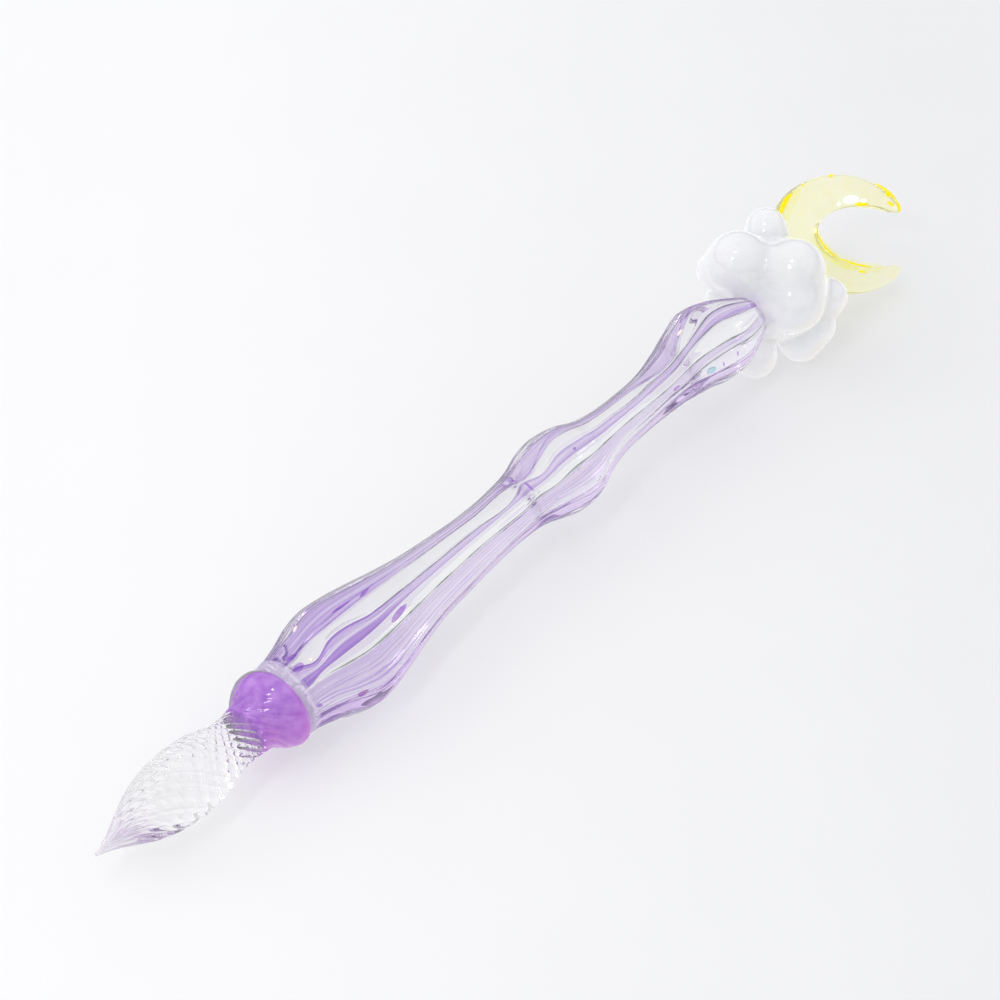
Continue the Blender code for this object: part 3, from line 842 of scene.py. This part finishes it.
def make_seams(material):
    """Fine dark seams that run beside the canes."""
    for index, (number, edge, start, end, width) in enumerate(SEAMS, start=1):
        along = np.linspace(start, end, int((end - start) * SEAM_RINGS_PER_MM))
        first, last = cane_span(number, along)
        middle = first + (last - first) * edge
        swing = SEAM_WIDTH_MEAN + SEAM_WIDTH_SWING * np.sin(along * SEAM_WIDTH_RATE + index)
        ends = np.clip(np.minimum(along - start, end - along) / SEAM_TAPER, SEAM_LEAST, 1.0)
        narrow = width / 2 * swing * np.sqrt(ends)
        edges = (middle - narrow, middle + narrow)
        seam = strip(f"seam_{index}", along, *edges, PROUD / 2, SEAM_DEPTH, SEAM_END, material)


def make_inclusions(materials):
    """Bubbles and drops of colour caught in the handle's skin, and painted glints that stand in for
    highlights.
    """
    for index, (kind, along, around, length, width, lean) in enumerate(INCLUSIONS, start=1):
        around = FRONT + around
        radius = float(smooth_read(HANDLE_OUTLINE, along))
        depth = min(length, width)
        centre = polar(along, around, radius + INCLUSION_PROUD - depth) + handle_middle(along)
        outward = polar(0.0, around, 1.0)
        sideways = polar(0.0, around + 90.0, 1.0)
        forward = np.array([1.0, 0.0, 0.0])
        lean = math.radians(lean)
        length_way = forward * math.cos(lean) + sideways * math.sin(lean)
        width_way = sideways * math.cos(lean) - forward * math.sin(lean)
        unit, faces = ball(np.zeros(3), 1.0, *INCLUSION_BALL)
        unit = np.array(unit)
        points = centre + unit @ np.array([length * length_way, width * width_way, depth * outward])
        piece = make_piece(f"{kind}_{index}", to_frame(points), faces, materials[kind])


def make_shoulder(material):
    """The pale band behind the collar: its rings run out and back and meet."""
    along = np.linspace(SHOULDER[0][0], SHOULDER[-1][0], SHOULDER_RINGS)[:, None]
    around = np.arange(SHOULDER_POINTS)[None, :] * 360.0 / SHOULDER_POINTS
    out = smooth_read(SHOULDER, along)
    outer = polar(along, around, out)
    inner = polar(along, around, out - SHOULDER_THICK)[::-1]
    rings = np.concatenate([outer, inner], axis=0)
    faces = ring_faces(*rings.shape[:2], closed=True)
    piece = make_piece("shoulder_band", to_frame(rings.reshape(-1, 3)), faces, material)
    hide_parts("shoulder_ring")


def make_cloud(material):
    """The puffs run together into one skin with soft creases."""
    points = []
    faces = []
    for along, around, out, radius in PUFFS:
        centre = polar(along, around, out)
        start = len(points)
        made, made_faces = ball(centre, radius + CLOUD_ROUGH_GROWTH, *CLOUD_BALL)
        points.extend(made)
        faces.extend([tuple(start + index for index in face) for face in made_faces])
    rough = bpy.data.meshes.new("cloud_rough")
    rough.from_pydata([tuple(point) for point in to_frame(np.array(points))], [], faces)
    holder = placed("cloud_rough", rough)
    remesh = holder.modifiers.new("fuse", "REMESH")
    remesh.mode = "VOXEL"
    remesh.voxel_size = CLOUD_VOXEL * MM
    graph = bpy.context.evaluated_depsgraph_get()
    fused = bpy.data.meshes.new_from_object(holder.evaluated_get(graph))
    bpy.data.objects.remove(holder)
    fused.name = "cloud_glass"
    settle_on_puffs(fused)
    fused.materials.clear()
    fused.materials.append(material)
    fused.polygons.foreach_set("use_smooth", np.ones(len(fused.polygons), bool))
    cloud = placed("cloud_glass", fused)
    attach(cloud, "root")
    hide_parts("cloud_core", *[f"cloud_puff_{number:02d}" for number in range(1, len(PUFFS))])


def settle_on_puffs(mesh):
    """Moves the points onto the smooth skin that the puffs make where they run together."""
    centres = to_frame(np.array([polar(along, around, out) for along, around, out, radius in PUFFS]))
    radii = (np.array([row[3] for row in PUFFS]) - CLOUD_SHRINK) * MM
    fillet = CLOUD_FILLET * MM
    longest = CLOUD_LONGEST_STEP * MM
    flat = np.empty(len(mesh.vertices) * 3, np.float32)
    mesh.vertices.foreach_get("co", flat)
    points = flat.reshape(-1, 3).astype(float)
    for step in range(CLOUD_STEPS):
        away = points[:, None, :] - centres[None, :, :]
        far = np.linalg.norm(away, axis=2)
        weight = np.exp(-(far - radii[None, :]) / fillet)
        total = weight.sum(axis=1)
        outside = -fillet * np.log(total)
        way = (weight[:, :, None] * away / far[:, :, None]).sum(axis=1) / total[:, None]
        move = outside / np.maximum((way**2).sum(axis=1), CLOUD_LEAST_SLOPE)
        points = points - np.clip(move, -longest, longest)[:, None] * way
    mesh.vertices.foreach_set("co", points.astype(np.float32).ravel())
    mesh.update()


def ball(centre, radius, bands, steps):
    points = [centre + np.array([0.0, 0.0, -radius])]
    for band in range(1, bands):
        lift = -math.pi / 2 + math.pi * band / bands
        for step in range(steps):
            turn = 2 * math.pi * step / steps
            flat = math.cos(lift)
            direction = np.array([flat * math.cos(turn), flat * math.sin(turn), math.sin(lift)])
            points.append(centre + radius * direction)
    points.append(centre + np.array([0.0, 0.0, radius]))
    faces = []
    for step in range(steps):
        after = (step + 1) % steps
        faces.append((0, 1 + after, 1 + step))
    for band in range(bands - 2):
        here = 1 + band * steps
        for step in range(steps):
            after = (step + 1) % steps
            faces.append((here + step, here + after, here + steps + after, here + steps + step))
    top = 1 + (bands - 1) * steps
    for step in range(steps):
        after = (step + 1) % steps
        faces.append((top - steps + step, top - steps + after, top))
    return points, faces


def squared(value):
    return np.sign(value) * np.abs(value) ** MOON_SQUARENESS


def moon_points(share, turn):
    """Points of the moon's skin: how far along it from the upper point, and the angle round its section."""
    pen = np.array([1.0, 0.0, 0.0])
    wide = polar(0.0, MOON_WIDE_AROUND, 1.0)
    thick = polar(0.0, MOON_THICK_AROUND, 1.0)
    lean = math.radians(MOON_OPENS)
    opening = pen * math.cos(lean) + wide * math.sin(lean)
    sideways = wide * math.cos(lean) - pen * math.sin(lean)
    middle = pen * MOON_MIDDLE[0] + wide * MOON_MIDDLE[1] + thick * MOON_MIDDLE[2]
    outer = ellipse(MOON_OUTER, np.radians(np.interp(share, (0, 1), MOON_OUTER_ENDS)))
    inner = ellipse(MOON_INNER, np.radians(np.interp(share, (0, 1), MOON_INNER_ENDS)))
    taper = np.clip(np.sin(math.pi * share) / MOON_TAPER, 0.0, 1.0) ** 0.5
    half = (outer - inner) / 2 * taper[:, None]
    swell = np.clip(np.sin(math.pi * share), 0.0, 1.0) ** MOON_SWELL
    height = (MOON_THIN + (MOON_THICK - MOON_THIN) * swell) * taper
    flat = ((outer + inner) / 2)[:, None, :] + half[:, None, :] * squared(np.cos(turn))[None, :, None]
    rise = height[:, None] * squared(np.sin(turn))[None, :]
    return middle + flat[..., :1] * opening + flat[..., 1:] * sideways - rise[..., None] * thick


def make_moon(material):
    share = (1 - np.cos(np.linspace(0.0, math.pi, MOON_STATIONS))) / 2
    turn = np.linspace(0.0, 2 * math.pi, MOON_POINTS, endpoint=False)
    moon = skin("moon_glass", moon_points(share, turn), material, turn / (2 * math.pi), share)
    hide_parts("moon_crescent")


def make_moon_marks(rows, kind, material):
    """Tapered marks that follow the moon's length, half sunk in its skin."""
    ring = np.linspace(0.0, 2 * math.pi, MARK_POINTS, endpoint=False)[None, :, None]
    profile = np.sqrt(np.maximum(1.0 - np.linspace(-1.0, 1.0, MARK_STATIONS) ** 2, MARK_END))
    for index, (start, end, turn, width) in enumerate(rows, start=1):
        share = np.linspace(start, end, MARK_STATIONS)
        spine = moon_points(share, np.array([math.radians(turn)]))[:, 0, :]
        forward = np.gradient(spine, axis=0)
        forward = forward / np.linalg.norm(forward, axis=1)[:, None]
        up = np.broadcast_to(polar(0.0, MOON_THICK_AROUND, 1.0), spine.shape)
        side = np.cross(forward, up)
        side = side / np.linalg.norm(side, axis=1)[:, None]
        up = np.cross(side, forward)
        around = np.cos(ring) * side[:, None, :] + MARK_FLATNESS * np.sin(ring) * up[:, None, :]
        rings = spine[:, None, :] + (width * profile)[:, None, None] * around
        mark = skin(f"{kind}_{index}", rings, material)


def ellipse(shape, turn):
    forward, sideways, long_half, short_half = shape
    return np.stack([forward + long_half * np.cos(turn), sideways + short_half * np.sin(turn)], axis=-1)


def floor_paper():
    """Plain pale paper, partly self-lit and dimmer towards the right, so that shadows stay faint."""
    material, tree, output = new_material("floor_paper")
    shader = principled(tree, {"Roughness": 0.7, "Specular IOR Level": 0.2, "Emission Strength": 1.0})
    speckle = noise(tree, coordinate(tree, "Object"), 60.0, 4.0)
    colour = ramp(tree, speckle, [(0.3, (0.432, 0.433, 0.440)), (0.7, (0.439, 0.440, 0.447))])
    tree.links.new(colour, shader.inputs["Base Color"])
    way = compared(tree, "DOT_PRODUCT", coordinate(tree, "Object"), FLOOR_FADE)
    place = calculated(tree, "ADD", way, 0.5)
    glow = ramp(tree, place, [(0.2, (0.490, 0.490, 0.493)), (0.8, (0.402, 0.404, 0.413))])
    tree.links.new(glow, shader.inputs["Emission Color"])
    show(shader, output)
    return material


def make_floor(material):
    mesh = bpy.data.meshes.new("floor")
    corners = [(-1, -1), (1, -1), (1, 1), (-1, 1)]
    mesh.from_pydata([(x * FLOOR_REACH, y * FLOOR_REACH, 0) for x, y in corners], [], [(0, 1, 2, 3)])
    mesh.materials.append(material)
    floor = placed("floor", mesh)
    floor.location.z = -FLOOR_DROP * MM


def area_light(name, place, target, size, power, colour):
    light = bpy.data.lights.new(name, "AREA")
    light.shape = "DISK"
    light.size = size
    light.energy = power
    light.color = colour
    lamp = placed(name, light)
    lamp.location = place
    lamp.rotation_euler = (Vector(target) - Vector(place)).to_track_quat("-Z", "Y").to_euler()
    return lamp


def make_light():
    world = bpy.data.worlds.new("studio")
    bpy.context.scene.world = world
    world.use_nodes = True
    tree = world.node_tree
    sky = tree.nodes["Background"]
    sky.inputs["Strength"].default_value = WORLD_STRENGTH
    shade = ramp(
        tree,
        part_of(tree, coordinate(tree, "Generated"), "Z"),
        [
            (0.0, (0.20, 0.20, 0.21)), (0.12, (0.32, 0.32, 0.34)),
            (0.34, (0.98, 0.985, 1.0)), (1.0, (1.06, 1.06, 1.08)),
        ],
    )
    tree.links.new(shade, sky.inputs["Color"])
    lamps = {name: area_light(name, *settings) for name, settings in LIGHTS.items()}
    lamps["key"].visible_glossy = False  # so that it leaves no spots on the glass


def make_camera():
    data = bpy.data.cameras.new("camera")
    data.lens = CAMERA_LENS
    data.sensor_width = CAMERA_SENSOR
    data.clip_start = CAMERA_CLIP
    camera = placed("camera", data)
    camera.location = CAMERA_PLACE
    look = Vector(CAMERA_TARGET) - Vector(CAMERA_PLACE)
    camera.rotation_euler = look.to_track_quat("-Z", "Y").to_euler()
    bpy.context.scene.camera = camera


def set_up_view():
    scene = bpy.context.scene
    scene.view_settings.view_transform = "Standard"
    scene.cycles.max_bounces = 24
    scene.cycles.transmission_bounces = 20
    scene.cycles.transparent_max_bounces = 40
    scene.cycles.glossy_bounces = 6
    scene.cycles.diffuse_bounces = 4
    scene.cycles.volume_bounces = 0


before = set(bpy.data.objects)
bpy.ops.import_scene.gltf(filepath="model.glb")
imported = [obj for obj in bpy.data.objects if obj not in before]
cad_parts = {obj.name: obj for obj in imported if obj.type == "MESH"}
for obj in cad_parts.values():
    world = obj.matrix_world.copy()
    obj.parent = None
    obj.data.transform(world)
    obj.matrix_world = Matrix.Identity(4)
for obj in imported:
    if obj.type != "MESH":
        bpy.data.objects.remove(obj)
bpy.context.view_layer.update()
TIP = tip_of_nib()

make_nib(nib_glass())
make_nib_root(root_glass())
make_collar(collar_glass())
make_handle(handle_glass())
make_shoulder(patchy_glass("shoulder_glass"))
for number in CANES:
    make_cane(number, cane_glass(number))
make_seams(patchy_glass("dark_seam"))
make_inclusions(
    {
        "bubble": air_bubble(), "painted_glint": patchy_glass("pale_painted_glint"), "drop": patchy_glass("violet_drop"),
        "dark_drop": patchy_glass("dark_drop"), "painted_cyan_glint": patchy_glass("painted_cyan_glint"),
    }
)
make_cloud(opal_glass())
make_moon(moon_glass())
make_moon_marks(MOON_STREAKS, "moon_streak", patchy_glass("deep_yellow"))
make_moon_marks(MOON_WASHES, "moon_wash", patchy_glass("yellow_wash"))
make_moon_marks(MOON_GLINTS, "moon_glint", patchy_glass("pale_glint"))
make_floor(floor_paper())
make_light()
make_camera()
set_up_view()
